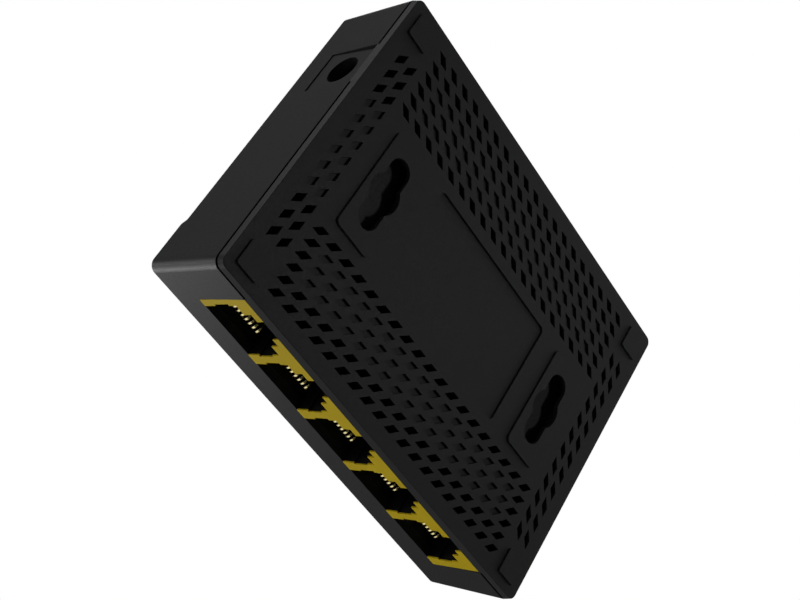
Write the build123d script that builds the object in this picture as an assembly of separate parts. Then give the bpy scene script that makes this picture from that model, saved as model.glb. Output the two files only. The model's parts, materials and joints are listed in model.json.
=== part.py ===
from build123d import *
import math
import os

os.makedirs("parts", exist_ok=True)

# Frame: +Z up, the unit rests on z = 0, sockets face -Y, power inlet faces +X.

# Case
WIDTH = 89.0
DEPTH = 63.4
CORNER_R = 1.7
CORNER_TOP_R = 1.7
UNDER_Z = 0.4
RIM_Z = 2.05
TOP_Z = 19.4
BAND_Z = 20.2
BAND_Y = -DEPTH / 2 + 10.0
BAND_SLOPE = 1.0
DRAFT_X = 1.85
DRAFT_Y = 1.4
WALL = 1.8
ROOF = 1.8
UNDER_IN = 0.28
UNDER_R = 0.12
TOP_R = 0.4
SEAM_GAP = 0.42
SEAM_IN = 0.7
LIP_GAP = 0.08
LIP_T = 1.0
LIP_Z = 3.7

# Underside forms
PAD_SIDE = 5.0
PAD_X = WIDTH / 2 - 4.8
PAD_Y = DEPTH / 2 - 4.75
PLATFORM_W = 9.0
PLATFORM_L = 21.6
PLATFORM_X = 27.7
FORM_R = 1.0
POCKET_W = 36.0
POCKET_L = 21.8
POCKET_DEPTH = 0.4

# Keyholes
KEY_R = 3.6
KEY_SLOT_W = 4.9
KEY_SLOT_L = 15.2
KEY_ROOM_W = 8.0
KEY_ROOM_L = 16.8
KEY_LIP = 0.9
KEY_ROOM_Z = 2.6
KEY_WALL = 1.1

# Vents
VENT_ALONG = 3.693
VENT_ACROSS = 2.683
VENT_COLS = 19
VENT_ROWS = 6
VENT_FIRST_Y = DEPTH / 2 - 17.63
SIDE_FIRST_X = WIDTH / 2 - 7.17
SIDE_COLS = 2
SIDE_ROWS = 12
SIDE_SHIFT_Y = -0.36
VENT_W = 1.83
VENT_H = 1.69
VENT_LEAN = 1.63
VENT_BLIND = 0.5
BLIND_ROWS = (1, 2, 3)
BLIND_SIDE_ROWS = (3, 4, 5, 6, 7, 8)

# Socket block
PORTS = 5
PORT_PITCH = 14.0
PORTS_X = 0.78
BLOCK_X = 0.4
BLOCK_W = 71.4
BLOCK_FRONT_Y = -DEPTH / 2 + 0.2
BLOCK_DEPTH = 16.0
BLOCK_BEHIND_Y = BLOCK_FRONT_Y + 1.95
BLOCK_CEILING = 13.78
CAVITY_DEPTH = 12.6
CAVITY_STEPS = (
    (2.07, RIM_Z, 4.0),
    (3.7, 4.0, 5.75),
    (5.85, 5.75, 7.5),
    (6.22, 7.5, 10.95),
    (5.87, 10.95, BLOCK_CEILING),
)
WINDOW_CLEAR = 0.05

# Insulating sheet under the socket block
SHEET_T = 0.2
SHEET_ROOM = 0.25
SHEET_Y0 = BLOCK_FRONT_Y + 2.0
SHEET_Y1 = BLOCK_FRONT_Y + 16.2
SHEET_W = BLOCK_W + 0.5
SHEET_FLAP_Z = 9.0

# Spring contacts
CONTACTS = 8
CONTACT_PITCH = 1.016
CONTACT_W = 0.46
CONTACT_T = 0.32
CONTACT_FRONT = 4.0
CONTACT_BACK = 10.6
CONTACT_TOP_Z = 12.6
CONTACT_BEND_Z = 12.0
CONTACT_LOW_Z = 10.3
CONTACT_TAIL_Y = 14.6
CONTACT_CLEAR = 0.04

# Circuit board
BOARD_Z = 14.4
BOARD_T = 1.6
BOARD_X = WIDTH / 2 - 3.3
BOARD_Y0 = -DEPTH / 2 + 2.5
BOARD_Y1 = DEPTH / 2 - 2.7

# Board posts and screws
POST_X = WIDTH / 2 - 5.5
POST_Y = DEPTH / 2 - 5.3
POST_R = 2.3
POST_BORE_R = 1.3
SCREW_R = 1.25
SCREW_HEAD_R = 2.3
SCREW_HEAD_H = 1.4
SCREW_L = 9.0
BOARD_HOLE_R = 1.5

# Power inlet
INLET_Y = 14.28
INLET_Z = 7.86
INLET_R = 3.15
PANEL_X = WIDTH / 2 - 0.6
PANEL_W = 9.4
PANEL_TOP = 13.7
PANEL_T = 1.8
NOTCH_GAP = 0.08
JACK_W = 8.8
JACK_L = 13.0
JACK_BOTTOM = 2.9
JACK_BORE_DEPTH = 10.0
PIN_R = 1.05
PIN_TIP = 2.6
PIN_TAIL = 1.2
FIT = 0.05
SPRING_T = 0.35
SPRING_W = 2.2

# Indicator windows
LIGHTS = 6
LIGHT_PITCH = 9.0
LIGHT_Z = 11.6
LIGHT_W = 4.0
LIGHT_H = 1.6
GUIDE_Y0 = DEPTH / 2 - 4.8
GUIDE_Y1 = DEPTH / 2 - 3.4

# Parts on the board
CHIP_SIDE = 14.0
CHIP_H = 1.2
CHIP_Y = 4.0
SINK_SIDE = 22.0
SINK_H = 6.5
SINK_FINS = 9
SINK_BASE = 1.4
COIL_W = 12.6
COIL_L = 7.0
COIL_H = 5.6
COIL_Y = -11.4
CAN_R = 3.15
CAN_H = 7.6


def rounded_block(width, depth, radius, z0, z1):
    outline = Plane.XY.offset(z0) * RectangleRounded(width, depth, radius)
    return extrude(outline, z1 - z0)


def lean_in(angle, z):
    return (z - RIM_Z) * math.tan(math.radians(angle))


def drafted_block(inset, radius, top_radius, z1):
    width = WIDTH - 2 * inset
    depth = DEPTH - 2 * inset
    low = Plane.XY.offset(RIM_Z) * RectangleRounded(width, depth, radius)
    top_width = width - 2 * lean_in(DRAFT_X, z1)
    top_depth = depth - 2 * lean_in(DRAFT_Y, z1)
    high = Plane.XY.offset(z1) * RectangleRounded(top_width, top_depth, top_radius)
    return loft([low, high], ruled=True)


def box_between(x0, x1, y0, y1, z0, z1):
    return Pos((x0 + x1) / 2, (y0 + y1) / 2, (z0 + z1) / 2) * Box(x1 - x0, y1 - y0, z1 - z0)


def slanted_cell(width, height, lean):
    points = [
        (-width / 2 - lean / 2, -height / 2),
        (width / 2 - lean / 2, -height / 2),
        (width / 2 + lean / 2, height / 2),
        (-width / 2 + lean / 2, height / 2),
    ]
    return make_face(Polyline(*points, close=True))


def vent_layout():
    open_cells = []
    blind_cells = []
    for side in (-1, 1):
        cell = slanted_cell(VENT_W, VENT_H, side * VENT_LEAN)
        for row in range(VENT_ROWS):
            for col in range(VENT_COLS):
                x = (col - (VENT_COLS - 1) / 2) * VENT_ALONG
                y = side * (VENT_FIRST_Y + row * VENT_ACROSS)
                inner = 0 < col < VENT_COLS - 1
                target = blind_cells if row in BLIND_ROWS and inner else open_cells
                target.append(Pos(x, y) * cell)
        tall = Rot(0, 0, 90) * slanted_cell(VENT_W, VENT_H, side * VENT_LEAN)
        for col in range(SIDE_COLS):
            for row in range(SIDE_ROWS):
                x = side * (SIDE_FIRST_X + col * VENT_ACROSS)
                y = (row - (SIDE_ROWS - 1) / 2) * VENT_ALONG + SIDE_SHIFT_Y
                blind = side > 0 and row in BLIND_SIDE_ROWS
                target = blind_cells if blind else open_cells
                target.append(Pos(x, y) * tall)
    return open_cells, blind_cells


def cut_cells(body, cells, z0, depth):
    tools = [extrude(Plane.XY.offset(z0) * cell, depth) for cell in cells]
    return body - tools


def keyhole_shape():
    return Circle(KEY_R) + SlotOverall(KEY_SLOT_L, KEY_SLOT_W, rotation=90)


def case_floor():
    width = WIDTH - 2 * UNDER_IN
    depth = DEPTH - 2 * UNDER_IN
    low = Plane.XY.offset(UNDER_Z) * RectangleRounded(width, depth, CORNER_R - UNDER_IN)
    high = Plane.XY.offset(RIM_Z) * RectangleRounded(WIDTH, DEPTH, CORNER_R)
    floor = loft([low, high], ruled=True)
    low_edges = floor.edges().group_by(Axis.Z)[0]
    floor = fillet(low_edges, UNDER_R)
    reveal = rounded_block(WIDTH + 2, DEPTH + 2, CORNER_R, RIM_Z - SEAM_GAP, RIM_Z + 1)
    reveal -= rounded_block(WIDTH - 2 * SEAM_IN, DEPTH - 2 * SEAM_IN, CORNER_R - SEAM_IN, 0, RIM_Z + 2)
    half = BLOCK_W / 2 + WINDOW_CLEAR
    reveal -= box_between(BLOCK_X - half, BLOCK_X + half, -DEPTH, 0, 0, RIM_Z + 2)
    half = PANEL_W / 2 + NOTCH_GAP
    reveal -= box_between(30, WIDTH, INLET_Y - half, INLET_Y + half, 0, RIM_Z + 2)
    return floor - reveal


def inner_lip():
    outer_in = WALL + LIP_GAP
    inner_in = outer_in + LIP_T
    lip = rounded_block(WIDTH - 2 * outer_in, DEPTH - 2 * outer_in, 0.6, RIM_Z - 0.2, LIP_Z)
    lip -= rounded_block(WIDTH - 2 * inner_in, DEPTH - 2 * inner_in, 0.4, 0, LIP_Z + 1)
    half = BLOCK_W / 2 + 0.6
    lip -= box_between(BLOCK_X - half, BLOCK_X + half, -DEPTH, -20, RIM_Z, LIP_Z + 1)
    half = PANEL_W / 2 + 0.6
    lip -= box_between(30, WIDTH, INLET_Y - half, INLET_Y + half, RIM_Z, LIP_Z + 1)
    return lip


def underside_forms(body):
    for sx in (-1, 1):
        for sy in (-1, 1):
            pad = rounded_block(PAD_SIDE, PAD_SIDE, 0.4, 0, UNDER_Z + 0.2)
            body += Pos(sx * PAD_X, sy * PAD_Y) * pad
        platform = rounded_block(PLATFORM_W, PLATFORM_L, FORM_R, 0, UNDER_Z + 0.2)
        body += Pos(sx * PLATFORM_X, 0) * platform
    pocket = rounded_block(POCKET_W, POCKET_L, FORM_R, 0, UNDER_Z + POCKET_DEPTH)
    return body - pocket


def keyhole_room(body):
    room_w = KEY_ROOM_W + 2 * KEY_WALL
    room_l = KEY_ROOM_L + 2 * KEY_WALL
    for sx in (-1, 1):
        shell = rounded_block(room_w, room_l, 1.2, RIM_Z - 0.2, KEY_ROOM_Z + KEY_WALL)
        body += Pos(sx * PLATFORM_X, 0) * shell
    for sx in (-1, 1):
        room = rounded_block(KEY_ROOM_W, KEY_ROOM_L, 0.8, KEY_LIP, KEY_ROOM_Z)
        body -= Pos(sx * PLATFORM_X, 0) * room
        body -= Pos(sx * PLATFORM_X, 0) * extrude(keyhole_shape(), KEY_LIP + 0.1)
    return body


def board_posts(body):
    post = extrude(Plane.XY.offset(RIM_Z - 0.1) * Circle(POST_R), BOARD_Z - RIM_Z + 0.1)
    bore = extrude(Plane.XY.offset(BOARD_Z - SCREW_L) * Circle(POST_BORE_R), SCREW_L + 1)
    for sx in (-1, 1):
        for sy in (-1, 1):
            body += Pos(sx * POST_X, sy * POST_Y) * post
            body -= Pos(sx * POST_X, sy * POST_Y) * bore
    return body


def inlet_panel():
    half = PANEL_W / 2
    panel = box_between(PANEL_X - PANEL_T, PANEL_X, INLET_Y - half, INLET_Y + half, RIM_Z - 0.2, PANEL_TOP)
    for sy in (-1, 1):
        y = INLET_Y + sy * (half - 0.5)
        rib = box_between(PANEL_X - 3.2, PANEL_X - PANEL_T + 0.1, y - 0.5, y + 0.5, RIM_Z - 0.2, 2.85)
        panel += rib
    hole = Pos(PANEL_X, INLET_Y, INLET_Z) * Rot(0, 90, 0) * Cylinder(INLET_R, 8)
    return panel - hole


def bottom_cover():
    body = case_floor()
    body += inner_lip()
    body = underside_forms(body)
    body = keyhole_room(body)
    body = board_posts(body)
    body += inlet_panel()
    open_cells, blind_cells = vent_layout()
    body = cut_cells(body, open_cells, -0.5, RIM_Z + 0.5)
    return cut_cells(body, blind_cells, -0.5, 0.5 + UNDER_Z + VENT_BLIND)


def top_shell():
    outer = drafted_block(0, CORNER_R, CORNER_TOP_R, BAND_Z)
    step = [
        (BAND_Y, BAND_Z + 1),
        (BAND_Y, BAND_Z),
        (BAND_Y + BAND_SLOPE, TOP_Z),
        (DEPTH, TOP_Z),
        (DEPTH, BAND_Z + 1),
    ]
    profile = Plane.YZ * make_face(Polyline(*step, close=True))
    outer -= extrude(profile, WIDTH, both=True)
    top_edges = outer.edges().filter_by(lambda e: e.bounding_box().min.Z > TOP_Z - 0.05)
    rim = [e for e in top_edges if on_rim(e)]
    outer = fillet(rim, TOP_R)
    return outer - drafted_block(WALL, 0.5, 0.5, TOP_Z - ROOF)


def on_rim(edge):
    c = edge.center()
    near_x = abs(c.X) > WIDTH / 2 - 3
    near_y = abs(c.Y) > DEPTH / 2 - 3
    return near_x or near_y


def port_window():
    half = BLOCK_W / 2 + WINDOW_CLEAR
    top = BLOCK_CEILING + WINDOW_CLEAR
    return box_between(BLOCK_X - half, BLOCK_X + half, -DEPTH, BLOCK_FRONT_Y + 4, RIM_Z - 1, top)


def inlet_notch():
    half = PANEL_W / 2 + NOTCH_GAP
    return box_between(40, WIDTH, INLET_Y - half, INLET_Y + half, RIM_Z - 1, PANEL_TOP + NOTCH_GAP)


def light_spots():
    return [(i - (LIGHTS - 1) / 2) * LIGHT_PITCH for i in range(LIGHTS)]


def light_windows():
    window = extrude(Plane.XZ.offset(-DEPTH / 2 - 1) * SlotOverall(LIGHT_W, LIGHT_H), 6)
    return [Pos(x, 0, LIGHT_Z) * window for x in light_spots()]


def hold_downs():
    post = box_between(-1, 1, -2, 2, BOARD_Z + BOARD_T, TOP_Z - ROOF + 0.1)
    return [Pos(sx * 30, sy * 18) * post for sx in (-1, 1) for sy in (-1, 1)]


def top_cover():
    body = top_shell()
    body -= port_window()
    body -= inlet_notch()
    body -= light_windows()
    for post in hold_downs():
        body += post
    return body


def port_centres():
    return [PORTS_X + (2 - i) * PORT_PITCH for i in range(PORTS)]


def cavity():
    tool = None
    back = BLOCK_FRONT_Y + CAVITY_DEPTH
    for half, z0, z1 in CAVITY_STEPS:
        piece = box_between(-half, half, BLOCK_FRONT_Y - 1, back, z0, z1)
        tool = piece if tool is None else tool + piece
    return tool


def socket_block():
    half = BLOCK_W / 2
    back = BLOCK_FRONT_Y + BLOCK_DEPTH
    body = box_between(BLOCK_X - half, BLOCK_X + half, BLOCK_FRONT_Y, back, RIM_Z, BLOCK_CEILING)
    body += box_between(BLOCK_X - half, BLOCK_X + half, BLOCK_BEHIND_Y, back, RIM_Z, BOARD_Z)
    for x in port_centres():
        body -= Pos(x, 0, 0) * cavity()
    body -= box_between(-WIDTH / 2, WIDTH / 2, SHEET_Y0, DEPTH, RIM_Z - 1, RIM_Z + SHEET_ROOM)
    grooves = []
    for x in port_centres():
        for i in range(CONTACTS):
            grooves += contact_grooves(x + (i - (CONTACTS - 1) / 2) * CONTACT_PITCH)
    return body - grooves


def insulating_sheet():
    half = SHEET_W / 2
    y0 = SHEET_Y0 + 0.1
    sheet = box_between(BLOCK_X - half, BLOCK_X + half, y0, SHEET_Y1, RIM_Z, RIM_Z + SHEET_T)
    for side in (-1, 1):
        edge = BLOCK_X + side * (half - SHEET_T / 2)
        sheet += box_between(edge - SHEET_T / 2, edge + SHEET_T / 2, y0, SHEET_Y1, RIM_Z, SHEET_FLAP_Z)
    return sheet


def contact_grooves(cx):
    half_w = CONTACT_W / 2 + CONTACT_CLEAR
    half_t = CONTACT_T / 2 + CONTACT_CLEAR
    tail = BLOCK_FRONT_Y + CONTACT_TAIL_Y
    back = BLOCK_FRONT_Y + CAVITY_DEPTH - 0.5
    x0 = cx - half_w
    x1 = cx + half_w
    run = box_between(x0, x1, back, tail + half_t, CONTACT_TOP_Z - half_t, CONTACT_TOP_Z + half_t)
    rise = box_between(x0, x1, tail - half_t, tail + half_t, CONTACT_TOP_Z, BOARD_Z + 1)
    return [run, rise]


def contact_wire(cx):
    front = BLOCK_FRONT_Y + CONTACT_FRONT
    back = BLOCK_FRONT_Y + CONTACT_BACK
    tail = BLOCK_FRONT_Y + CONTACT_TAIL_Y
    points = [
        (tail, BOARD_Z),
        (tail, CONTACT_TOP_Z),
        (front, CONTACT_TOP_Z),
        (front - 0.35, CONTACT_TOP_Z - 0.3),
        (front, CONTACT_BEND_Z),
        (back, CONTACT_LOW_Z),
    ]
    ribbon = trace(Polyline(*points), line_width=CONTACT_T)
    face = Plane.YZ.offset(cx - CONTACT_W / 2) * ribbon
    return extrude(face, CONTACT_W)


def contact_wires(port_x):
    return [contact_wire(port_x + (i - (CONTACTS - 1) / 2) * CONTACT_PITCH) for i in range(CONTACTS)]


def contact_set(port_x):
    return Compound(children=contact_wires(port_x))


def circuit_board():
    board = box_between(-BOARD_X, BOARD_X, BOARD_Y0, BOARD_Y1, BOARD_Z, BOARD_Z + BOARD_T)
    board = fillet(board.edges().filter_by(Axis.Z), 1.0)
    for sx in (-1, 1):
        for sy in (-1, 1):
            board -= Pos(sx * POST_X, sy * POST_Y, BOARD_Z) * Cylinder(BOARD_HOLE_R, 6)
    return board


def board_screws():
    screws = []
    top = BOARD_Z + BOARD_T
    for sx in (-1, 1):
        for sy in (-1, 1):
            head = Pos(0, 0, top + SCREW_HEAD_H / 2) * Cylinder(SCREW_HEAD_R, SCREW_HEAD_H)
            head = fillet(head.edges().group_by(Axis.Z)[-1], 0.5)
            shank = Pos(0, 0, top - SCREW_L / 2 + 0.05) * Cylinder(SCREW_R, SCREW_L)
            cross = Pos(0, 0, top + SCREW_HEAD_H) * (Box(2.6, 0.6, 1.2) + Box(0.6, 2.6, 1.2))
            screws.append(Pos(sx * POST_X, sy * POST_Y, 0) * (head + shank - cross))
    return Compound(children=screws)


def power_jack():
    x1 = PANEL_X - PANEL_T
    x0 = x1 - JACK_L
    half = JACK_W / 2
    body = box_between(x0, x1, INLET_Y - half, INLET_Y + half, JACK_BOTTOM, BOARD_Z)
    body = chamfer(body.edges().filter_by(Axis.X).group_by(Axis.Z)[0], 0.8)
    end = x1 - JACK_BORE_DEPTH
    axis = Pos(0, INLET_Y, INLET_Z) * Rot(0, 90, 0)
    body -= Pos((end + x1 + 1) / 2, 0, 0) * axis * Cylinder(INLET_R, JACK_BORE_DEPTH + 1)
    body -= box_between(end, x1 - 1.2, INLET_Y - 1.6, INLET_Y + 1.6, JACK_BOTTOM - 1, INLET_Z)
    body -= Pos(end - 0.4, 0, 0) * axis * Cylinder(PIN_R + FIT, 0.9)
    half = PIN_TAIL / 2 + FIT
    body -= box_between(end - 1.35, end, INLET_Y - half, INLET_Y + half, INLET_Z - half, INLET_Z + half)
    half = SPRING_W / 2 + FIT
    low = JACK_BOTTOM + 0.2 - FIT
    return body - box_between(end - 0.35, end + 0.4, INLET_Y - half, INLET_Y + half, low, low + 1.9)


def power_pin():
    x1 = PANEL_X - PANEL_T
    x0 = x1 - JACK_BORE_DEPTH - 0.3
    tip = x1 - PIN_TIP
    pin = Pos((x0 + tip) / 2, INLET_Y, INLET_Z) * Rot(0, 90, 0) * Cylinder(PIN_R, tip - x0)
    pin = fillet(pin.edges().group_by(Axis.X)[-1], 0.7)
    half = PIN_TAIL / 2
    tail = box_between(x0 - 1.0, x0 + 0.4, INLET_Y - half, INLET_Y + half, INLET_Z - half, INLET_Z + half)
    return pin + tail


def power_spring():
    x1 = PANEL_X - PANEL_T
    points = [
        (x1 - JACK_BORE_DEPTH + 0.05, JACK_BOTTOM + 0.4),
        (x1 - 6.2, JACK_BOTTOM + 0.5),
        (x1 - 4.2, JACK_BOTTOM + 2.2),
        (x1 - 2.4, JACK_BOTTOM + 0.9),
    ]
    ribbon = trace(Polyline(*points), line_width=SPRING_T)
    half = SPRING_W / 2
    leaf = extrude(Plane.XZ.offset(-INLET_Y - half) * ribbon, SPRING_W)
    end = x1 - JACK_BORE_DEPTH
    low = JACK_BOTTOM + 0.2
    return leaf + box_between(end - 0.3, end + 0.3, INLET_Y - half, INLET_Y + half, low, low + 1.8)


def switch_chip():
    half = CHIP_SIDE / 2
    body = box_between(-half, half, CHIP_Y - half, CHIP_Y + half, BOARD_Z - CHIP_H, BOARD_Z - 0.1)
    leads = []
    count = 22
    low = BOARD_Z - 0.35
    for i in range(count):
        o = (i - (count - 1) / 2) * 0.55
        for s in (-1, 1):
            e = s * (half + 0.35)
            leads.append(box_between(o - 0.13, o + 0.13, CHIP_Y + e - 0.55, CHIP_Y + e + 0.55, low, BOARD_Z))
            leads.append(box_between(e - 0.55, e + 0.55, CHIP_Y + o - 0.13, CHIP_Y + o + 0.13, low, BOARD_Z))
    for lead in leads:
        body += lead
    return body


def heat_sink():
    half = SINK_SIDE / 2
    top = BOARD_Z - CHIP_H
    low = top - SINK_H
    body = box_between(-half, half, CHIP_Y - half, CHIP_Y + half, low, top)
    pitch = SINK_SIDE / SINK_FINS
    for i in range(SINK_FINS - 1):
        x = -half + (i + 1) * pitch
        body -= box_between(x - 0.75, x + 0.75, CHIP_Y - half - 1, CHIP_Y + half + 1, low - 1, top - SINK_BASE)
    return body


def line_coil(x):
    y0 = COIL_Y - COIL_L / 2
    y1 = COIL_Y + COIL_L / 2
    body = box_between(x - COIL_W / 2, x + COIL_W / 2, y0, y1, BOARD_Z - COIL_H, BOARD_Z - 0.15)
    body = chamfer(body.edges().group_by(Axis.Z)[0], 0.5)
    for i in range(8):
        lx = x + (i - 3.5) * 1.3
        body += box_between(lx - 0.2, lx + 0.2, y0 - 0.6, y1 + 0.6, BOARD_Z - 0.5, BOARD_Z)
    return body


def line_coils():
    return Compound(children=[line_coil(x) for x in port_centres()])


def capacitor_cans():
    cans = []
    for x, y in ((20.0, 21.8), (27.4, 22.2), (-30.0, 20.5)):
        can = Pos(x, y, BOARD_Z - CAN_H / 2) * Cylinder(CAN_R, CAN_H)
        can = fillet(can.edges().group_by(Axis.Z)[0], 0.5)
        base = box_between(x - 3.3, x + 3.3, y - 3.3, y + 3.3, BOARD_Z - 1.0, BOARD_Z)
        cans.append(can + base)
    return Compound(children=cans)


def power_coil():
    coil = box_between(16.5, 23.5, 9.5, 16.5, BOARD_Z - 4.2, BOARD_Z)
    return chamfer(coil.edges().filter_by(Axis.Z), 1.4)


def voltage_regulator():
    body = box_between(4.6, 9.6, 19.0, 23.0, BOARD_Z - 1.6, BOARD_Z - 0.1)
    for i in range(4):
        x = 5.2 + i * 1.27
        body += box_between(x - 0.2, x + 0.2, 18.1, 23.9, BOARD_Z - 0.3, BOARD_Z)
    return body


def timing_crystal():
    can = extrude(Plane.XY.offset(BOARD_Z - 3.5) * Pos(-16.0, 19.0) * SlotOverall(11.2, 4.6), 3.2)
    base = extrude(Plane.XY.offset(BOARD_Z - 0.4) * Pos(-16.0, 19.0) * SlotOverall(12.0, 5.2), 0.4)
    return fillet(can.edges().group_by(Axis.Z)[0], 0.4) + base


def memory_chip():
    body = box_between(-26.0, -21.0, 8.0, 12.0, BOARD_Z - 1.5, BOARD_Z - 0.1)
    for i in range(4):
        x = -25.4 + i * 1.27
        body += box_between(x - 0.2, x + 0.2, 7.1, 12.9, BOARD_Z - 0.3, BOARD_Z)
    return body


def chip_parts():
    parts = []
    for i in range(9):
        for x in (-17.5, 13.5):
            y = -4.0 + i * 1.9
            parts.append(box_between(x - 0.8, x + 0.8, y - 0.4, y + 0.4, BOARD_Z - 0.7, BOARD_Z))
    return Compound(children=parts)


def indicator_lights():
    lights = []
    for x in light_spots():
        lights.append(box_between(x - 0.8, x + 0.8, GUIDE_Y0 - 1.5, GUIDE_Y0 - 0.2, BOARD_Z - 0.9, BOARD_Z))
    return Compound(children=lights)


def light_guide():
    outer_y = DEPTH / 2 - lean_in(DRAFT_Y, LIGHT_Z) - 0.08
    half = (LIGHTS - 1) / 2 * LIGHT_PITCH + 3.2
    bar = box_between(-half, half, GUIDE_Y0, GUIDE_Y1, LIGHT_Z - 1.2, BOARD_Z)
    prong = extrude(Plane.XZ.offset(-outer_y) * SlotOverall(LIGHT_W - 0.1, LIGHT_H - 0.1), outer_y - GUIDE_Y1 + 0.2)
    for x in light_spots():
        bar += Pos(x, 0, LIGHT_Z) * prong
    return bar


def save(name, shape):
    shape.label = name
    export_step(shape, f"parts/{name}.step")


def main():
    save("bottom_cover", bottom_cover())
    save("top_cover", top_cover())
    save("circuit_board", circuit_board())
    save("board_screws", board_screws())
    save("socket_block", socket_block())
    save("insulating_sheet", insulating_sheet())
    for i, x in enumerate(port_centres()):
        save(f"contacts_{i + 1}", contact_set(x))
    save("power_jack", power_jack())
    save("power_pin", power_pin())
    save("power_spring", power_spring())
    save("switch_chip", switch_chip())
    save("heat_sink", heat_sink())
    save("line_coils", line_coils())
    save("capacitor_cans", capacitor_cans())
    save("power_coil", power_coil())
    save("voltage_regulator", voltage_regulator())
    save("timing_crystal", timing_crystal())
    save("memory_chip", memory_chip())
    save("chip_parts", chip_parts())
    save("indicator_lights", indicator_lights())
    save("light_guide", light_guide())


main()
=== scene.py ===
"""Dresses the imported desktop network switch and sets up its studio.

The covers, the sockets with their spring contacts, the power inlet, the circuit board and the
indicators each have a class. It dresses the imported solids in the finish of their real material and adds
the finer pieces. Sizes are in millimetres in those classes and turn to metres where a mesh or a pattern
is made. The studio is in metres.
"""

from __future__ import annotations

import json
import logging
import math
from dataclasses import dataclass, field
from enum import Enum

import bmesh
import bpy
from mathutils import Matrix, Vector

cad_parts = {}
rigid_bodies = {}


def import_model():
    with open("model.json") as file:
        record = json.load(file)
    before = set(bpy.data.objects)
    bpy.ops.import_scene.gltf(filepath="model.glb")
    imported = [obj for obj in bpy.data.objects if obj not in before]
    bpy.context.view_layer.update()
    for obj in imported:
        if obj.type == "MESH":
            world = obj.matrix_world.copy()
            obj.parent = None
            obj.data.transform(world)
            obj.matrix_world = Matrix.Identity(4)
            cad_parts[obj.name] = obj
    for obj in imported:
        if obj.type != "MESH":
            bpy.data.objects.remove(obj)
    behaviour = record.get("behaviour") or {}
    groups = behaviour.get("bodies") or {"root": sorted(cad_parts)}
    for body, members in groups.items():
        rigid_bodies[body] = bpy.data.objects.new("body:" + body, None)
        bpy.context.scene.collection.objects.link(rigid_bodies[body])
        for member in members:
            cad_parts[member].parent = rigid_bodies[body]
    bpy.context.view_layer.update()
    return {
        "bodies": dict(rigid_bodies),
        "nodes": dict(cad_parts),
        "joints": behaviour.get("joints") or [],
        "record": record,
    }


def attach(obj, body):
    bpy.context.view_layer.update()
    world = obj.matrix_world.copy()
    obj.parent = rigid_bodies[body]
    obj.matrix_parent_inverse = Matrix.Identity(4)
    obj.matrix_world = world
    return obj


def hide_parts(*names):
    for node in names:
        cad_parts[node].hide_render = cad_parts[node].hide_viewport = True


LOG = logging.getLogger("network_switch")
MM = 0.001
SHARP_EDGE_DEG = 40
# The wave texture's phase runs this many times faster than its scale.
WAVE_RATE = 20
Point = tuple[float, float]


class Body(Enum):
    """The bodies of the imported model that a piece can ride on."""

    ROOT = "root"


class Slot(Enum):
    """The record's material slots that new pieces take their finish from."""

    CONTACT = "contact_metal"
    SPRING = "spring_metal"
    COIL = "chip_plastic"


class SeesBackdrop(Enum):
    """The kinds of ray that see the white backdrop instead of the soft room light."""

    CAMERA = "Is Camera Ray"
    GLOSSY = "Is Glossy Ray"
    TRANSMISSION = "Is Transmission Ray"


def linear(colour: str) -> tuple[float, float, float, float]:
    """Turns an sRGB hex colour to the linear values that a shader takes.

    Args:
        colour: The colour as "#rrggbb".

    Returns:
        Linear red, green and blue, and an alpha of 1.
    """
    channels = []
    for start in (1, 3, 5):
        value = int(colour[start:start + 2], 16) / 255
        channels.append(value / 12.92 if value <= 0.04045 else ((value + 0.055) / 1.055) ** 2.4)
    return (channels[0], channels[1], channels[2], 1.0)


def add_node(
    tree: bpy.types.NodeTree,
    kind: str,
    values: dict | None = None,
    links: dict | None = None,
    **settings: str,
) -> bpy.types.Node:
    """Adds one node with its settings, input values and links.

    Args:
        tree: The node tree that the node joins.
        kind: The node's type name.
        values: Input values by socket name or number.
        links: Output sockets that feed the inputs, by socket name or number.
        **settings: Properties of the node itself.

    Returns:
        The new node.
    """
    node = tree.nodes.new(kind)
    for key, value in settings.items():
        setattr(node, key, value)
    for key, value in (values or {}).items():
        node.inputs[key].default_value = value
    for key, socket in (links or {}).items():
        tree.links.new(socket, node.inputs[key])
    return node


def pattern_scale(size_mm: float) -> float:
    """Gives a texture node's scale for features of a real size in millimetres."""
    return 1.0 / (size_mm * MM)


@dataclass(frozen=True)
class Finish:
    """What all finishes share: a name and one principled shader that a pattern then feeds."""

    name: str = "finish"

    def constants(self) -> dict[str, float | tuple]:
        """Gives the shader values that are the same all over the surface."""
        return {}

    def dress(self, tree: bpy.types.NodeTree, shader: bpy.types.Node, place: bpy.types.NodeSocket) -> None:
        """Adds the finish's own pattern between the place and the shader.

        Args:
            tree: The material's node tree.
            shader: The principled shader to feed.
            place: The position on the object, in metres.
        """

    def build(self) -> bpy.types.Material:
        """Makes the material.

        Returns:
            The finished material.
        """
        material = bpy.data.materials.new(self.name)
        material.use_nodes = True
        tree = material.node_tree
        tree.nodes.clear()
        shader = add_node(tree, "ShaderNodeBsdfPrincipled", self.constants())
        add_node(tree, "ShaderNodeOutputMaterial", links={"Surface": shader.outputs[0]})
        place = add_node(tree, "ShaderNodeTexCoord").outputs["Object"]
        self.dress(tree, shader, place)
        return material


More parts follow.
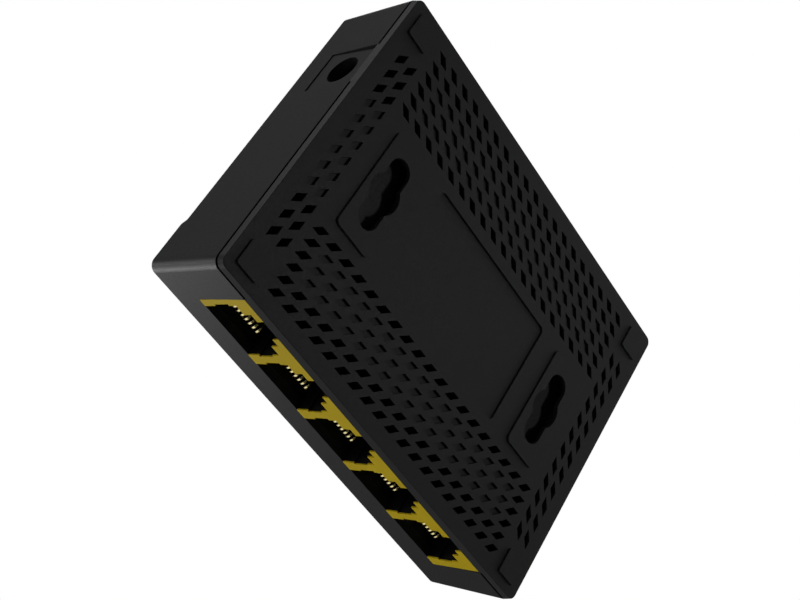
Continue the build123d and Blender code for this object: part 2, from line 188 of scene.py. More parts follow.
@dataclass(frozen=True)
class MouldedPlastic(Finish):
    """A moulded plastic with a grain from the tool and slow changes of tone from the flow of the melt."""

    name: str = "moulded plastic"
    low: str = "#1a1a1b"
    high: str = "#1f1f20"
    grain_mm: float = 0.3
    grain_depth_mm: float = 0.008
    flow_mm: float = 20.0
    smoothest: float = 0.45
    roughest: float = 0.58
    grain_share: float = 0.35
    ior: float = 1.5
    specular: float = 0.25

    def constants(self) -> dict[str, float | tuple]:
        """Gives the index of refraction and the gloss level."""
        return {"IOR": self.ior, "Specular IOR Level": self.specular}

    def dress(self, tree: bpy.types.NodeTree, shader: bpy.types.Node, place: bpy.types.NodeSocket) -> None:
        """Adds the tool's grain to the tone, roughness and relief, and the slow flow to the tone.

        Args:
            tree: The material's node tree.
            shader: The principled shader to feed.
            place: The position on the object, in metres.
        """
        grain = add_node(
            tree,
            "ShaderNodeTexNoise",
            {"Scale": pattern_scale(self.grain_mm), "Detail": 3.0},
            {"Vector": place},
        )
        flow = add_node(
            tree,
            "ShaderNodeTexNoise",
            {"Scale": pattern_scale(self.flow_mm), "Detail": 2.0},
            {"Vector": place},
        )
        tone = add_node(
            tree,
            "ShaderNodeMix",
            {"Factor": self.grain_share},
            {2: flow.outputs["Fac"], 3: grain.outputs["Fac"]},
        )
        spread = add_node(
            tree,
            "ShaderNodeMapRange",
            {"From Min": 0.35, "From Max": 0.65},
            {"Value": tone.outputs[0]},
        )
        colour = add_node(
            tree,
            "ShaderNodeMix",
            {6: linear(self.low), 7: linear(self.high)},
            {"Factor": spread.outputs[0]},
            data_type="RGBA",
        )
        gloss = add_node(
            tree,
            "ShaderNodeMapRange",
            {"From Min": 0.3, "From Max": 0.7, "To Min": self.smoothest, "To Max": self.roughest},
            {"Value": grain.outputs["Fac"]},
        )
        relief = add_node(
            tree,
            "ShaderNodeBump",
            {"Strength": 1.0, "Distance": self.grain_depth_mm * MM},
            {"Height": grain.outputs["Fac"]},
        )
        tree.links.new(colour.outputs[2], shader.inputs["Base Color"])
        tree.links.new(gloss.outputs[0], shader.inputs["Roughness"])
        tree.links.new(relief.outputs[0], shader.inputs["Normal"])


@dataclass(frozen=True)
class SocketShadedPlastic(MouldedPlastic):
    """A plastic with a coloured face and painted shade behind it: everything deeper than the face is
    coloured near black, so the sockets look dark inside.
    """

    face_y_mm: float = -31.5
    face_depth_mm: float = 0.25
    # The near-black colour painted behind the face as the shade inside the sockets.
    core: str = "#0b0b0c"

    def dress(self, tree: bpy.types.NodeTree, shader: bpy.types.Node, place: bpy.types.NodeSocket) -> None:
        """Adds the plastic's pattern, then paints shade behind the face by turning it to a near-black
        colour.

        Args:
            tree: The material's node tree.
            shader: The principled shader to feed.
            place: The position on the object, in metres.
        """
        super().dress(tree, shader, place)
        tone = shader.inputs["Base Color"].links[0].from_socket
        # Painted shade: everything behind the face takes the near-black colour.
        axes = add_node(tree, "ShaderNodeSeparateXYZ", links={0: place})
        behind = add_node(
            tree,
            "ShaderNodeMath",
            {1: (self.face_y_mm + self.face_depth_mm) * MM},
            {0: axes.outputs["Y"]},
            operation="GREATER_THAN",
        )
        shaded_tone = add_node(
            tree,
            "ShaderNodeMix",
            {7: linear(self.core)},
            {"Factor": behind.outputs[0], 6: tone},
            data_type="RGBA",
        )
        tree.links.new(shaded_tone.outputs[2], shader.inputs["Base Color"])


@dataclass(frozen=True)
class WorkedMetal(Finish):
    """A metal with fine marks along the way it was drawn, turned or stamped."""

    name: str = "worked metal"
    low: str = "#b0b0ac"
    high: str = "#c8c8c4"
    mark_mm: tuple[float, float, float] = (0.05, 0.8, 0.05)
    mark_depth_mm: float = 0.002
    smoothest: float = 0.2
    roughest: float = 0.34

    def constants(self) -> dict[str, float | tuple]:
        """Gives the value that makes it a metal."""
        return {"Metallic": 1.0}

    def dress(self, tree: bpy.types.NodeTree, shader: bpy.types.Node, place: bpy.types.NodeSocket) -> None:
        """Adds marks that are long in one direction, in the tone, roughness and relief.

        Args:
            tree: The material's node tree.
            shader: The principled shader to feed.
            place: The position on the object, in metres.
        """
        stretch = tuple(pattern_scale(size) for size in self.mark_mm)
        along = add_node(tree, "ShaderNodeMapping", {"Scale": stretch}, {"Vector": place})
        marks = add_node(
            tree,
            "ShaderNodeTexNoise",
            {"Scale": 1.0, "Detail": 2.0},
            {"Vector": along.outputs[0]},
        )
        colour = add_node(
            tree,
            "ShaderNodeMix",
            {6: linear(self.low), 7: linear(self.high)},
            {"Factor": marks.outputs["Fac"]},
            data_type="RGBA",
        )
        gloss = add_node(
            tree,
            "ShaderNodeMapRange",
            {"To Min": self.smoothest, "To Max": self.roughest},
            {"Value": marks.outputs["Fac"]},
        )
        relief = add_node(
            tree,
            "ShaderNodeBump",
            {"Strength": 1.0, "Distance": self.mark_depth_mm * MM},
            {"Height": marks.outputs["Fac"]},
        )
        tree.links.new(colour.outputs[2], shader.inputs["Base Color"])
        tree.links.new(gloss.outputs[0], shader.inputs["Roughness"])
        tree.links.new(relief.outputs[0], shader.inputs["Normal"])


@dataclass(frozen=True)
class LeadedPackage(MouldedPlastic):
    """Moulded black epoxy with tinned leads, which start at a height on the package."""

    name: str = "moulded epoxy with tinned leads"
    low: str = "#151515"
    high: str = "#1d1d1e"
    lead: str = "#b9bab8"
    leads_above_mm: float = 13.9

    def dress(self, tree: bpy.types.NodeTree, shader: bpy.types.Node, place: bpy.types.NodeSocket) -> None:
        """Adds the epoxy's grain, then turns what lies above the leads' height to tinned metal.

        Args:
            tree: The material's node tree.
            shader: The principled shader to feed.
            place: The position on the object, in metres.
        """
        super().dress(tree, shader, place)
        split = add_node(tree, "ShaderNodeSeparateXYZ", links={"Vector": place})
        high = add_node(
            tree,
            "ShaderNodeMath",
            {1: self.leads_above_mm * MM},
            {0: split.outputs["Z"]},
            operation="GREATER_THAN",
        )
        epoxy = shader.inputs["Base Color"].links[0].from_socket
        colour = add_node(
            tree,
            "ShaderNodeMix",
            {7: linear(self.lead)},
            {"Factor": high.outputs[0], 6: epoxy},
            data_type="RGBA",
        )
        tree.links.new(colour.outputs[2], shader.inputs["Base Color"])
        tree.links.new(high.outputs[0], shader.inputs["Metallic"])


@dataclass(frozen=True)
class SolderMask(Finish):
    """Green solder mask on a glass-epoxy board: the tracks show as paler raised lines under its gloss."""

    name: str = "solder mask on glass-epoxy board"
    bare: str = "#14422a"
    over_copper: str = "#1f6b42"
    track_mm: float = 1.27
    track_height_mm: float = 0.03
    run_mm: float = 9.0

    def constants(self) -> dict[str, float | tuple]:
        """Gives the gloss of the cured lacquer."""
        return {"Roughness": 0.28, "Coat Weight": 0.35, "Coat Roughness": 0.12}

    def dress(self, tree: bpy.types.NodeTree, shader: bpy.types.Node, place: bpy.types.NodeSocket) -> None:
        """Adds runs of tracks that bend at random, as paler and higher lines.

        Args:
            tree: The material's node tree.
            shader: The principled shader to feed.
            place: The position on the object, in metres.
        """
        cells = add_node(
            tree,
            "ShaderNodeTexVoronoi",
            {"Scale": pattern_scale(self.run_mm), "Randomness": 0.6},
            {"Vector": place},
            distance="CHEBYCHEV",
        )
        lines = add_node(
            tree,
            "ShaderNodeTexWave",
            {"Scale": pattern_scale(self.track_mm) / WAVE_RATE, "Distortion": 0.0},
            {"Vector": cells.outputs["Position"]},
        )
        bands = add_node(
            tree,
            "ShaderNodeTexWave",
            {"Scale": pattern_scale(self.track_mm) / WAVE_RATE, "Distortion": 1.5, "Detail": 0.0},
            {"Vector": place, "Phase Offset": lines.outputs["Fac"]},
        )
        edge = add_node(
            tree,
            "ShaderNodeMapRange",
            {"From Min": 0.6, "From Max": 0.7},
            {"Value": bands.outputs["Fac"]},
        )
        colour = add_node(
            tree,
            "ShaderNodeMix",
            {6: linear(self.bare), 7: linear(self.over_copper)},
            {"Factor": edge.outputs[0]},
            data_type="RGBA",
        )
        relief = add_node(
            tree,
            "ShaderNodeBump",
            {"Strength": 1.0, "Distance": self.track_height_mm * MM},
            {"Height": edge.outputs[0]},
        )
        tree.links.new(colour.outputs[2], shader.inputs["Base Color"])
        tree.links.new(relief.outputs[0], shader.inputs["Normal"])


@dataclass(frozen=True)
class ClearAcrylic(Finish):
    """Moulded clear acrylic with a frosted face: it passes light softly and shows little behind it."""

    name: str = "frosted clear acrylic"
    tint: str = "#e6ebea"
    frost_mm: float = 0.12
    smoothest: float = 0.25
    roughest: float = 0.4

    def constants(self) -> dict[str, float | tuple]:
        """Gives the tint, the index of refraction and the share of light that passes."""
        return {"Base Color": linear(self.tint), "IOR": 1.49, "Transmission Weight": 0.85}

    def dress(self, tree: bpy.types.NodeTree, shader: bpy.types.Node, place: bpy.types.NodeSocket) -> None:
        """Adds the frosting's fine grain to the roughness.

        Args:
            tree: The material's node tree.
            shader: The principled shader to feed.
            place: The position on the object, in metres.
        """
        frost = add_node(
            tree,
            "ShaderNodeTexNoise",
            {"Scale": pattern_scale(self.frost_mm)},
            {"Vector": place},
        )
        gloss = add_node(
            tree,
            "ShaderNodeMapRange",
            {"To Min": self.smoothest, "To Max": self.roughest},
            {"Value": frost.outputs["Fac"]},
        )
        tree.links.new(gloss.outputs[0], shader.inputs["Roughness"])


# Black ABS moulded against spark-eroded steel: an even fine grain that keeps every highlight wide and dim.
CASE_ABS = MouldedPlastic(name="spark-eroded black ABS")
# Yellow PBT moulded against a satin tool: an even, waxy face, with painted shade, near black, behind it in
# the sockets.
# The yellow is written brighter than it shows here, because little light falls on the socket side.
SOCKET_PBT = SocketShadedPlastic(
    name="yellow PBT with painted socket shade",
    low="#eccb16",
    high="#f6d722",
    grain_mm=0.22,
    grain_depth_mm=0.003,
    flow_mm=6.0,
    smoothest=0.5,
    roughest=0.6,
    specular=0.12,
)
# Black sheet under the sockets, painted shade that makes the vents look black inside: smooth and dark, with
# almost no grain.
VENT_SHADE_SHEET = MouldedPlastic(
    name="black sheet painted as shade under the vents",
    low="#0c0c0d",
    high="#101011",
    grain_mm=0.15,
    grain_depth_mm=0.001,
    flow_mm=8.0,
    smoothest=0.35,
    roughest=0.45,
)
# Black PBT of the inlet, a little glossier than the case.
INLET_PBT = MouldedPlastic(
    name="black PBT",
    low="#101011",
    high="#171718",
    grain_mm=0.2,
    grain_depth_mm=0.003,
    flow_mm=5.0,
    smoothest=0.3,
    roughest=0.42,
)
# Phosphor bronze wire with gold flash over nickel: a bright pale yellow metal with fine drawing lines.
CONTACT_GOLD = WorkedMetal(
    name="gold-flashed phosphor bronze",
    low="#dccb88",
    high="#f1e6b4",
    mark_mm=(0.04, 0.9, 0.9),
    smoothest=0.16,
    roughest=0.28,
)
# Nickel on turned brass: the pin's rings run round it, and it keeps a sharp highlight.
PIN_NICKEL = WorkedMetal(
    name="nickel-plated brass",
    low="#bdb9b0",
    high="#d4d1c9",
    mark_mm=(0.08, 1.5, 1.5),
    smoothest=0.12,
    roughest=0.22,
)
# Bright tin on phosphor bronze strip: softer and greyer than the pin.
SPRING_TIN = WorkedMetal(
    name="tin-plated phosphor bronze",
    low="#aeb0b0",
    high="#c3c5c5",
    mark_mm=(0.9, 0.05, 0.9),
)
# Bright zinc on rolled-thread steel screws.
SCREW_ZINC = WorkedMetal(name="zinc-plated steel", low="#a5a8ad", high="#c2c5ca", mark_mm=(0.12, 0.12, 0.3))
# Extruded aluminium: long fine die lines along the fins.
SINK_ALUMINIUM = WorkedMetal(
    name="extruded aluminium",
    low="#9b9da1",
    high="#b4b6b9",
    mark_mm=(0.12, 6.0, 0.12),
    smoothest=0.32,
    roughest=0.46,
)
# Deep-drawn aluminium can: nearly mirror bright with faint vertical draw lines.
CAN_ALUMINIUM = WorkedMetal(name="drawn aluminium", low="#c3c5c8", high="#d6d8da", mark_mm=(0.1, 0.1, 2.0))
# Tin-silver solder, frozen with a bright rounded skin.
SOLDER = WorkedMetal(
    name="tin-silver solder",
    low="#b8babb",
    high="#cfd1d2",
    mark_mm=(0.3, 0.3, 0.3),
    smoothest=0.18,
    roughest=0.36,
)
# Enamelled copper winding wire: warm, glossy under its lacquer.
WINDING_COPPER = WorkedMetal(
    name="enamelled copper",
    low="#8f4a25",
    high="#b5653a",
    mark_mm=(0.4, 0.4, 0.1),
    smoothest=0.2,
    roughest=0.3,
)
# Pressed ferrite: dark grey, dull and slightly granular.
FERRITE = MouldedPlastic(
    name="pressed ferrite",
    low="#1d1e20",
    high="#2b2c2f",
    grain_mm=0.15,
    grain_depth_mm=0.01,
    flow_mm=3.0,
    smoothest=0.6,
    roughest=0.75,
)
# Shrink sleeve on the capacitors: glossy black vinyl.
CAN_SLEEVE = MouldedPlastic(
    name="shrunk vinyl sleeve",
    low="#121317",
    high="#191a20",
    grain_mm=0.6,
    grain_depth_mm=0.004,
    flow_mm=4.0,
    smoothest=0.2,
    roughest=0.3,
)
# Fired ceramic of the small chip parts: pale brown and dull.
CERAMIC = MouldedPlastic(
    name="fired ceramic",
    low="#8a7355",
    high="#a08a6a",
    grain_mm=0.12,
    grain_depth_mm=0.004,
    flow_mm=2.0,
    smoothest=0.45,
    roughest=0.6,
)
# Clear epoxy of the indicator lamps, milky over the die.
LAMP_EPOXY = MouldedPlastic(
    name="milky epoxy",
    low="#d6d8c2",
    high="#e6e7d6",
    grain_mm=0.1,
    grain_depth_mm=0.001,
    flow_mm=1.0,
    smoothest=0.15,
    roughest=0.25,
)
PACKAGE_EPOXY = LeadedPackage()
BOARD_MASK = SolderMask()
WINDOW_ACRYLIC = ClearAcrylic()


def dress_node(frame: dict, node: str, material: bpy.types.Material) -> None:
    """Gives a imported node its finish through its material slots.

    Args:
        node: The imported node's name.
        material: The finish that all its slots get.
    """
    piece = frame["nodes"][node]
    if not piece.material_slots:
        piece.data.materials.append(material)
    for place in piece.material_slots:
        place.material = material
    LOG.info("%s: %s, %d faces", node, material.name, len(piece.data.polygons))


def add_piece(
    name: str,
    mesh: bmesh.types.BMesh,
    material: bpy.types.Material,
    replaces: tuple[str, ...] = (),
) -> bpy.types.Object:
    """Turns a finished mesh into a piece that rides on the object.

    Args:
        name: The piece's name.
        mesh: The geometry, in metres in the row frame. It is freed.
        material: The piece's finish.
        replaces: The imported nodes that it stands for.

    Returns:
        The new object.
    """
    data = bpy.data.meshes.new(name)
    bmesh.ops.recalc_face_normals(mesh, faces=mesh.faces)
    mesh.to_mesh(data)
    mesh.free()
    data.materials.append(material)
    data.shade_smooth()
    piece = bpy.data.objects.new(name, data)
    bpy.context.scene.collection.objects.link(piece)
    data.set_sharp_from_angle(angle=math.radians(SHARP_EDGE_DEG))
    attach(piece, Body.ROOT.value)
    if replaces:
        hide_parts(*replaces)
    LOG.info("%s: %s, %d faces", name, material.name, len(data.polygons))
    return piece


def bent_path(corners: list[Point], radii: list[float], steps: int = 6) -> list[Point]:
    """Rounds the inner corners of a bent strip's middle line with true arcs.

    Args:
        corners: The corners of the middle line in its plane, in millimetres.
        radii: The bend radius at each inner corner, in millimetres.
        steps: The number of runs in each arc.

    Returns:
        The points of the rounded line.
    """
    path = [corners[0]]
    for before, corner, after, radius in zip(corners, corners[1:], corners[2:], radii):
        here = Vector(corner)
        back = (Vector(before) - here).normalized()
        ahead = (Vector(after) - here).normalized()
        half = back.angle(ahead) / 2
        reach = radius / math.tan(half)
        centre = here + (back + ahead).normalized() * radius / math.sin(half)
        start = here + back * reach - centre
        end = here + ahead * reach - centre
        for step in range(steps + 1):
            spoke = start.slerp(end, step / steps)
            path.append((centre.x + spoke.x, centre.y + spoke.y))
    path.append(corners[-1])
    return path


def rounded_section(width: float, thickness: float, radius: float, steps: int = 3) -> list[Point]:
    """Draws the rounded oblong section of a drawn wire or strip.

    Args:
        width: The size across the strip, in millimetres.
        thickness: The size through the strip, in millimetres.
        radius: The radius of the long edges, in millimetres.
        steps: The number of runs in each rounded edge.

    Returns:
        The section's points, in order round it.
    """
    points = []
    for corner, (sx, sy) in enumerate(((1, 1), (-1, 1), (-1, -1), (1, -1))):
        for step in range(steps + 1):
            turn = math.radians(90 * corner + 90 * step / steps)
            x = sx * (width / 2 - radius) + radius * math.cos(turn)
            y = sy * (thickness / 2 - radius) + radius * math.sin(turn)
            points.append((x, y))
    return points


def sweep_strip(mesh: bmesh.types.BMesh, path: list[Point], section: list[Point], plane: Matrix) -> None:
    """Sweeps a strip's section along its middle line and closes both ends.

    Args:
        mesh: The mesh that the strip joins.
        path: The middle line in its plane, in millimetres.
        section: The section's points, across and through the strip, in millimetres.
        plane: Turns (along, up, across) in millimetres to the row frame in metres.
    """
    rings = []
    for index, point in enumerate(path):
        before = Vector(path[max(index - 1, 0)])
        after = Vector(path[min(index + 1, len(path) - 1)])
        tangent = (after - before).normalized()
        normal = Vector((-tangent.y, tangent.x))
        ring = []
        for across, through in section:
            spot = Vector(point) + normal * through
            ring.append(mesh.verts.new(plane @ Vector((spot.x, spot.y, across))))
        rings.append(ring)
    for ring, following in zip(rings, rings[1:]):
        for side in range(len(section)):
            other = (side + 1) % len(section)
            mesh.faces.new((ring[side], ring[other], following[other], following[side]))
    mesh.faces.new(rings[0])
    mesh.faces.new(rings[-1])


def turn_profile(mesh: bmesh.types.BMesh, profile: list[Point], centre: Vector, sides: int = 32) -> None:
    """Turns a profile round an upright axis, closing it where it meets the axis.

    Args:
        mesh: The mesh that the turned form joins.
        profile: Radius and height of each point, in millimetres.
        centre: The axis position and base height, in millimetres.
        sides: The number of sides round the axis.
    """
    rings = []
    for radius, height in profile:
        spots = []
        for side in range(sides if radius > 0 else 1):
            turn = math.tau * side / sides
            spot = centre + Vector((radius * math.cos(turn), radius * math.sin(turn), height))
            spots.append(mesh.verts.new(spot * MM))
        rings.append(spots)
    for ring, following in zip(rings, rings[1:]):
        for side in range(sides):
            other = (side + 1) % sides
            near = [ring[side % len(ring)], ring[other % len(ring)]]
            away = [following[other % len(following)], following[side % len(following)]]
            unique = list(dict.fromkeys(near + away))
            if len(unique) > 2:
                mesh.faces.new(unique)


def plane_across_x(x: float) -> Matrix:
    """Gives the plane of strips that run in Y and Z at one X, in millimetres, as a matrix to metres."""
    return Matrix(((0, 0, MM, x * MM), (MM, 0, 0, 0), (0, MM, 0, 0), (0, 0, 0, 1)))


def plane_across_y(y: float) -> Matrix:
    """Gives the plane of strips that run in X and Z at one Y, in millimetres, as a matrix to metres."""
    return Matrix(((MM, 0, 0, 0), (0, 0, MM, y * MM), (0, MM, 0, 0), (0, 0, 0, 1)))


@dataclass
class Covers:
    """The two moulded halves of the case."""

    nodes: tuple[str, ...] = ("bottom_cover", "top_cover")
    finish: MouldedPlastic = CASE_ABS

    def build(self, frame: dict) -> None:
        """Dresses both covers in the same plastic.
        """
        material = self.finish.build()
        for node in self.nodes:
            dress_node(frame, node, material)


@dataclass
class SocketBank:
    """The row of ganged sockets with their spring contacts."""

    ports: int = 5
    port_pitch: float = 14.0
    middle_x: float = 0.78
    contacts: int = 8
    contact_pitch: float = 1.016
    wire_width: float = 0.46
    wire_thickness: float = 0.32
    wire_edge: float = 0.1
    tail_y: float = -16.9
    board_z: float = 14.4
    run_z: float = 12.6
    front_y: float = -27.5
    nose: float = 0.35
    nose_drop: float = 0.3
    bend_z: float = 12.0
    back_y: float = -20.9
    low_z: float = 10.3
    fillet_radius: float = 0.5
    fillet_height: float = 0.45

    def port_centres(self) -> list[float]:
        """Gives each port's middle in X, first the one by the power inlet."""
        return [self.middle_x + ((self.ports - 1) / 2 - i) * self.port_pitch for i in range(self.ports)]

    def wire_centres(self, port_x: float) -> list[float]:
        """Gives the X of each wire of a port."""
        return [port_x + (i - (self.contacts - 1) / 2) * self.contact_pitch for i in range(self.contacts)]

    def wire_path(self) -> list[Point]:
        """Draws a wire's middle line, off the board, under the ceiling, round the nose and down the slope.

        Returns:
            The line's points in Y and Z, in millimetres.
        """
        corners = [
            (self.tail_y, self.board_z),
            (self.tail_y, self.run_z),
            (self.front_y, self.run_z),
            (self.front_y - self.nose, self.run_z - self.nose_drop),
            (self.front_y, self.bend_z),
            (self.back_y, self.low_z),
        ]
        return bent_path(corners, [0.4, 0.25, 0.2, 0.25])

    def fillet_profile(self) -> list[Point]:
        """Draws the hollow cone of solder round a wire's tail.

        Returns:
            The profile's points as radius and height, in millimetres.
        """
        return [
            (self.fillet_radius * 0.98, 0.0),
            (self.fillet_radius, -0.03),
            (0.36, -0.12),
            (0.3, -0.28),
            (0.27, -self.fillet_height),
        ]

    def build(self, frame: dict) -> None:
        """Dresses the housing, bends the wires of every port and solders their tails to the board.
        """
        # The housing turns near black behind its face: painted shade inside the sockets.
        dress_node(frame, "socket_block", SOCKET_PBT.build())
        # The insulating sheet is near black as painted shade seen through the vents.
        dress_node(frame, "insulating_sheet", VENT_SHADE_SHEET.build())
        gold = CONTACT_GOLD.build()
        path = self.wire_path()
        section = rounded_section(self.wire_width, self.wire_thickness, self.wire_edge)
        solder = bmesh.new()
        for number, port_x in enumerate(self.port_centres(), start=1):
            wires = bmesh.new()
            for wire_x in self.wire_centres(port_x):
                sweep_strip(wires, path, section, plane_across_x(wire_x))
                foot = Vector((wire_x, self.tail_y, self.board_z))
                turn_profile(solder, self.fillet_profile(), foot, sides=12)
            add_piece(f"spring_wires_{number}", wires, gold, (f"contacts_{number}",))
        add_piece("contact_solder", solder, SOLDER.build())


@dataclass
class PowerInlet:
    """The round power inlet behind the upright panel."""

    middle_y: float = 14.28
    face_x: float = 42.1
    bore_depth: float = 10.0
    floor_z: float = 2.9
    leaf_width: float = 2.1
    leaf_thickness: float = 0.35

    def build(self, frame: dict) -> None:
        """Dresses the inlet's body and pin, and bends its spring leaf.
        """
        dress_node(frame, "power_jack", INLET_PBT.build())
        dress_node(frame, "power_pin", PIN_NICKEL.build())
        corners = [
            (self.face_x - self.bore_depth, self.floor_z + 1.9),
            (self.face_x - self.bore_depth, self.floor_z + 0.45),
            (self.face_x - 6.2, self.floor_z + 0.5),
            (self.face_x - 4.2, self.floor_z + 2.2),
            (self.face_x - 2.4, self.floor_z + 0.9),
        ]
        leaf = bmesh.new()
        path = bent_path(corners, [0.35, 1.2, 1.0])
        section = rounded_section(self.leaf_width, self.leaf_thickness, 0.06, steps=2)
        sweep_strip(leaf, path, section, plane_across_y(self.middle_y))
        add_piece("inlet_spring_leaf", leaf, SPRING_TIN.build(), ("power_spring",))


@dataclass
class BoardAssembly:
    """The circuit board and everything that is soldered to it."""

    board_z: float = 14.4
    cans: tuple[Point, ...] = ((20.0, 21.8), (27.4, 22.2), (-30.0, 20.5))
    can_radius: float = 3.15
    can_height: float = 7.6
    choke: Point = (20.0, 13.0)
    choke_side: float = 7.0
    choke_height: float = 4.2
    winding_turns: int = 7
    epoxy_nodes: tuple[str, ...] = ("switch_chip", "voltage_regulator", "memory_chip", "line_coils")

    def build(self, frame: dict) -> None:
        """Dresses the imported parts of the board, then adds the sleeves and the wound choke.
        """
        dress_node(frame, "circuit_board", BOARD_MASK.build())
        dress_node(frame, "board_screws", SCREW_ZINC.build())
        dress_node(frame, "heat_sink", SINK_ALUMINIUM.build())
        dress_node(frame, "chip_parts", CERAMIC.build())
        epoxy = PACKAGE_EPOXY.build()
        for node in self.epoxy_nodes:
            dress_node(frame, node, epoxy)
        can = CAN_ALUMINIUM.build()
        dress_node(frame, "timing_crystal", can)
        dress_node(frame, "capacitor_cans", can)
        self.add_sleeves()
        self.add_choke()

    def add_sleeves(self) -> None:
        """Adds the shrink sleeve that wraps each can and turns in over its end."""
        sleeves = bmesh.new()
        outer = self.can_radius + 0.12
        for x, y in self.cans:
            end = -self.can_height
            profile = [
                (self.can_radius, -1.05),
                (outer, -1.12),
                (outer, -1.9),
                (outer - 0.25, -2.15),
                (outer, -2.4),
                (outer, end + 0.6),
                (outer - 0.12, end + 0.2),
                (outer - 0.5, end - 0.06),
                (outer - 0.85, end - 0.08),
                (outer - 0.9, end + 0.02),
            ]
            turn_profile(sleeves, profile, Vector((x, y, self.board_z)), sides=40)
        add_piece("can_sleeves", sleeves, CAN_SLEEVE.build())

    def add_choke(self) -> None:
        """Adds the drum core and its winding in place of the plain coil."""
        x, y = self.choke
        foot = Vector((x, y, self.board_z))
        drum = bmesh.new()
        wide = self.choke_side / 2
        waist = wide * 0.55
        deep = -self.choke_height
        profile = [
            (0.0, 0.0),
            (wide - 0.2, 0.0),
            (wide, -0.2),
            (wide, -0.7),
            (wide - 0.2, -0.85),
            (waist, -0.9),
            (waist, deep + 0.9),
            (wide - 0.2, deep + 0.85),
            (wide, deep + 0.7),
            (wide, deep + 0.2),
            (wide - 0.2, deep),
            (0.0, deep),
        ]
        turn_profile(drum, profile, foot, sides=48)
        add_piece("choke_drum", drum, FERRITE.build(), ("power_coil",))
        winding = bmesh.new()
        top = -0.92
        step = (self.choke_height - 1.84) / self.winding_turns
        wire = step / 2
        ridge = wide - 0.45
        outline = [(waist - 0.05, top)]
        for turn in range(self.winding_turns):
            middle = top - (turn + 0.5) * step
            for part in range(7):
                swing = math.radians(90 - part * 30)
                outline.append((ridge - wire + wire * math.cos(swing), middle + wire * math.sin(swing)))
        outline.append((waist - 0.05, top - self.winding_turns * step))
        turn_profile(winding, outline, foot, sides=48)
        add_piece("choke_winding", winding, WINDING_COPPER.build())


@dataclass
class Indicators:
    """The row of indicator lamps and the clear guide that carries their light to the case."""

    def build(self, frame: dict) -> None:
        """Dresses the lamps and the guide."""
        dress_node(frame, "indicator_lights", LAMP_EPOXY.build())
        dress_node(frame, "light_guide", WINDOW_ACRYLIC.build())


@dataclass
class SoftLamp:
    """One soft lamp of the studio."""

    name: str
    place: tuple[float, float, float]
    size: float
    power: float

    def build(self, aim: Vector) -> None:
        """Hangs the lamp and turns it to the object.

        Args:
            aim: The point that the lamp faces, in metres.
        """
        data = bpy.data.lights.new(self.name, "AREA")
        data.shape = "DISK"
        data.size = self.size
        data.energy = self.power
        lamp = bpy.data.objects.new(self.name, data)
        lamp.location = self.place
        lamp.rotation_euler = (aim - Vector(self.place)).to_track_quat("-Z", "Y").to_euler()
        bpy.context.scene.collection.objects.link(lamp)


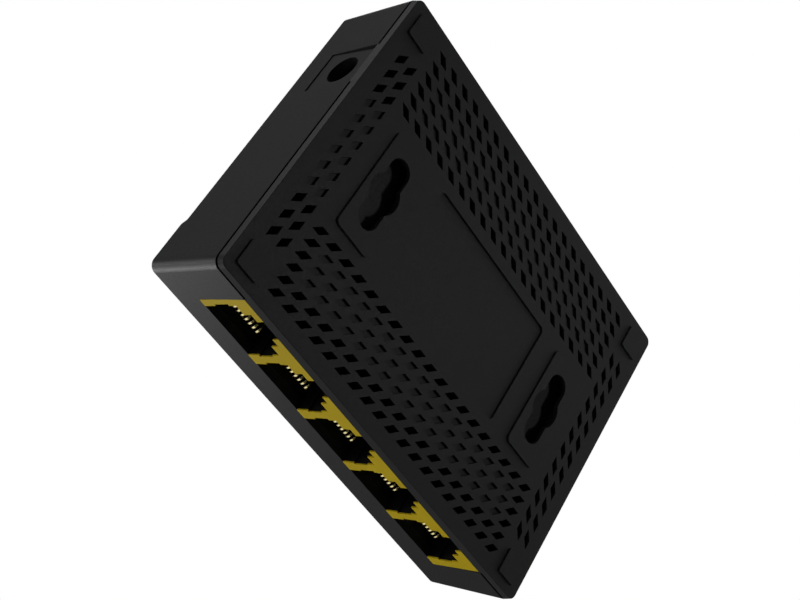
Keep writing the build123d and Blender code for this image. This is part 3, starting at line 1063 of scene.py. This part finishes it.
@dataclass
class Studio:
    """The camera, the pale floor, the soft lamps and the white backdrop."""

    eye: tuple[float, float, float] = (0.132479, -0.123502, -0.169652)
    right: tuple[float, float, float] = (-0.531679, 0.483696, -0.695238)
    down: tuple[float, float, float] = (-0.68664, -0.726736, 0.019493)
    ahead: tuple[float, float, float] = (-0.495826, 0.487743, 0.718515)
    lens: float = 63.572
    sensor: float = 36.0
    shift_x: float = 0.00046
    shift_y: float = -0.02286
    floor_side: float = 6.0
    floor_tone: str = "#e9e9e7"
    room_light: float = 0.045
    sweep_reach: float = 0.3
    sweep_fade: float = 0.15
    sweep_start: float = 0.18
    sweep_end: float = 0.95
    sweep_glow: float = 0.9
    aim: Vector = field(default_factory=lambda: Vector((0.0, 0.0, 0.01)))
    lamps: tuple[SoftLamp, ...] = (
        SoftLamp("key lamp", (-0.05, -0.36, 0.7), 0.3, 2.5),
        SoftLamp("corner lamp", (0.34, -0.25, 0.62), 0.3, 1.2),
        SoftLamp("side lamp", (0.64, 0.4, 0.26), 0.3, 1.1),
        SoftLamp("high side lamp", (0.48, 0.24, 0.6), 0.3, 0.1),
        SoftLamp("low lamp", (-0.37, 0.37, -0.75), 0.14, 0.68),
        SoftLamp("back lamp", (-0.2, 0.55, 0.6), 0.5, 3.2),
    )

    def place_camera(self) -> None:
        """Puts the camera where the photograph's lines say that it stood."""
        data = bpy.data.cameras.new("camera")
        data.sensor_width = self.sensor
        data.lens = self.lens
        data.shift_x = self.shift_x
        data.shift_y = self.shift_y
        data.clip_start = 0.005
        data.clip_end = 20.0
        camera = bpy.data.objects.new("camera", data)
        turn = Matrix((self.right, [-v for v in self.down], [-v for v in self.ahead])).transposed()
        camera.matrix_world = Matrix.Translation(self.eye) @ turn.to_4x4()
        bpy.context.scene.collection.objects.link(camera)
        bpy.context.scene.camera = camera

    def lay_floor(self) -> None:
        """Lays the floor, which shows from above only, keeps the object's shadow and glows far off."""
        half = self.floor_side / 2
        data = bpy.data.meshes.new("floor")
        corners = [(-half, -half, 0), (half, -half, 0), (half, half, 0), (-half, half, 0)]
        data.from_pydata(corners, [], [(0, 1, 2, 3)])
        floor = bpy.data.objects.new("floor", data)
        bpy.context.scene.collection.objects.link(floor)
        material = bpy.data.materials.new("painted board floor")
        material.use_nodes = True
        tree = material.node_tree
        tree.nodes.clear()
        tone = linear(self.floor_tone)
        paint = add_node(tree, "ShaderNodeBsdfDiffuse", {"Color": tone})
        glow = add_node(tree, "ShaderNodeEmission", {"Color": tone, "Strength": self.sweep_glow})
        clear = add_node(tree, "ShaderNodeBsdfTransparent")
        ray = add_node(tree, "ShaderNodeLightPath")
        side = add_node(tree, "ShaderNodeNewGeometry")
        away = add_node(
            tree,
            "ShaderNodeVectorMath",
            links={0: side.outputs["Position"]},
            operation="LENGTH",
        )
        far = add_node(
            tree,
            "ShaderNodeMapRange",
            {"From Min": self.sweep_start, "From Max": self.sweep_end},
            {"Value": away.outputs["Value"]},
        )
        lit = add_node(
            tree,
            "ShaderNodeMixShader",
            links={0: far.outputs[0], 1: paint.outputs[0], 2: glow.outputs[0]},
        )
        above = add_node(
            tree,
            "ShaderNodeMath",
            {0: 1.0},
            {1: side.outputs["Backfacing"]},
            operation="SUBTRACT",
        )
        shown = add_node(
            tree,
            "ShaderNodeMath",
            links={0: above.outputs[0], 1: ray.outputs[SeesBackdrop.CAMERA.value]},
            operation="MULTIPLY",
        )
        mix = add_node(
            tree,
            "ShaderNodeMixShader",
            links={0: shown.outputs[0], 1: clear.outputs[0], 2: lit.outputs[0]},
        )
        add_node(tree, "ShaderNodeOutputMaterial", links={"Surface": mix.outputs[0]})
        data.materials.append(material)

    def light_room(self) -> None:
        """Fills the room with soft light and makes the backdrop white for the rays that show it."""
        world = bpy.data.worlds.new("studio")
        bpy.context.scene.world = world
        world.use_nodes = True
        tree = world.node_tree
        tree.nodes.clear()
        ray = add_node(tree, "ShaderNodeLightPath")
        mirrored = add_node(
            tree,
            "ShaderNodeMath",
            links={
                0: ray.outputs[SeesBackdrop.GLOSSY.value],
                1: ray.outputs[SeesBackdrop.TRANSMISSION.value],
            },
            operation="MAXIMUM",
        )
        way = add_node(tree, "ShaderNodeTexCoord")
        split = add_node(tree, "ShaderNodeSeparateXYZ", links={"Vector": way.outputs["Generated"]})
        height = add_node(tree, "ShaderNodeMath", links={0: split.outputs["Z"]}, operation="ABSOLUTE")
        sweep = add_node(
            tree,
            "ShaderNodeMapRange",
            {
                "From Min": self.sweep_reach,
                "From Max": self.sweep_reach + self.sweep_fade,
                "To Min": 1.0,
                "To Max": 0.0,
            },
            {"Value": height.outputs[0]},
        )
        caught = add_node(
            tree,
            "ShaderNodeMath",
            links={0: mirrored.outputs[0], 1: sweep.outputs[0]},
            operation="MULTIPLY",
        )
        seen = add_node(
            tree,
            "ShaderNodeMath",
            links={0: ray.outputs[SeesBackdrop.CAMERA.value], 1: caught.outputs[0]},
            operation="MAXIMUM",
        )
        strength = add_node(
            tree,
            "ShaderNodeMapRange",
            {"To Min": self.room_light, "To Max": 1.0},
            {"Value": seen.outputs[0]},
        )
        room = add_node(
            tree,
            "ShaderNodeBackground",
            {"Color": (1.0, 1.0, 1.0, 1.0)},
            {"Strength": strength.outputs[0]},
        )
        add_node(tree, "ShaderNodeOutputWorld", links={"Surface": room.outputs[0]})

    def build(self) -> None:
        """Sets up the camera, floor, room light and lamps."""
        bpy.context.scene.view_settings.view_transform = "Standard"
        self.place_camera()
        self.lay_floor()
        self.light_room()
        for lamp in self.lamps:
            lamp.build(self.aim)
        LOG.info("studio: %d lamps", len(self.lamps))


def main() -> None:
    """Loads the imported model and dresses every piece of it."""
    logging.basicConfig(level=logging.INFO, format="%(name)s %(message)s")
    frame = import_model()
    Studio().build()
    Covers().build(frame)
    SocketBank().build(frame)
    PowerInlet().build(frame)
    BoardAssembly().build(frame)
    Indicators().build(frame)


if __name__ == "__main__":
    main()
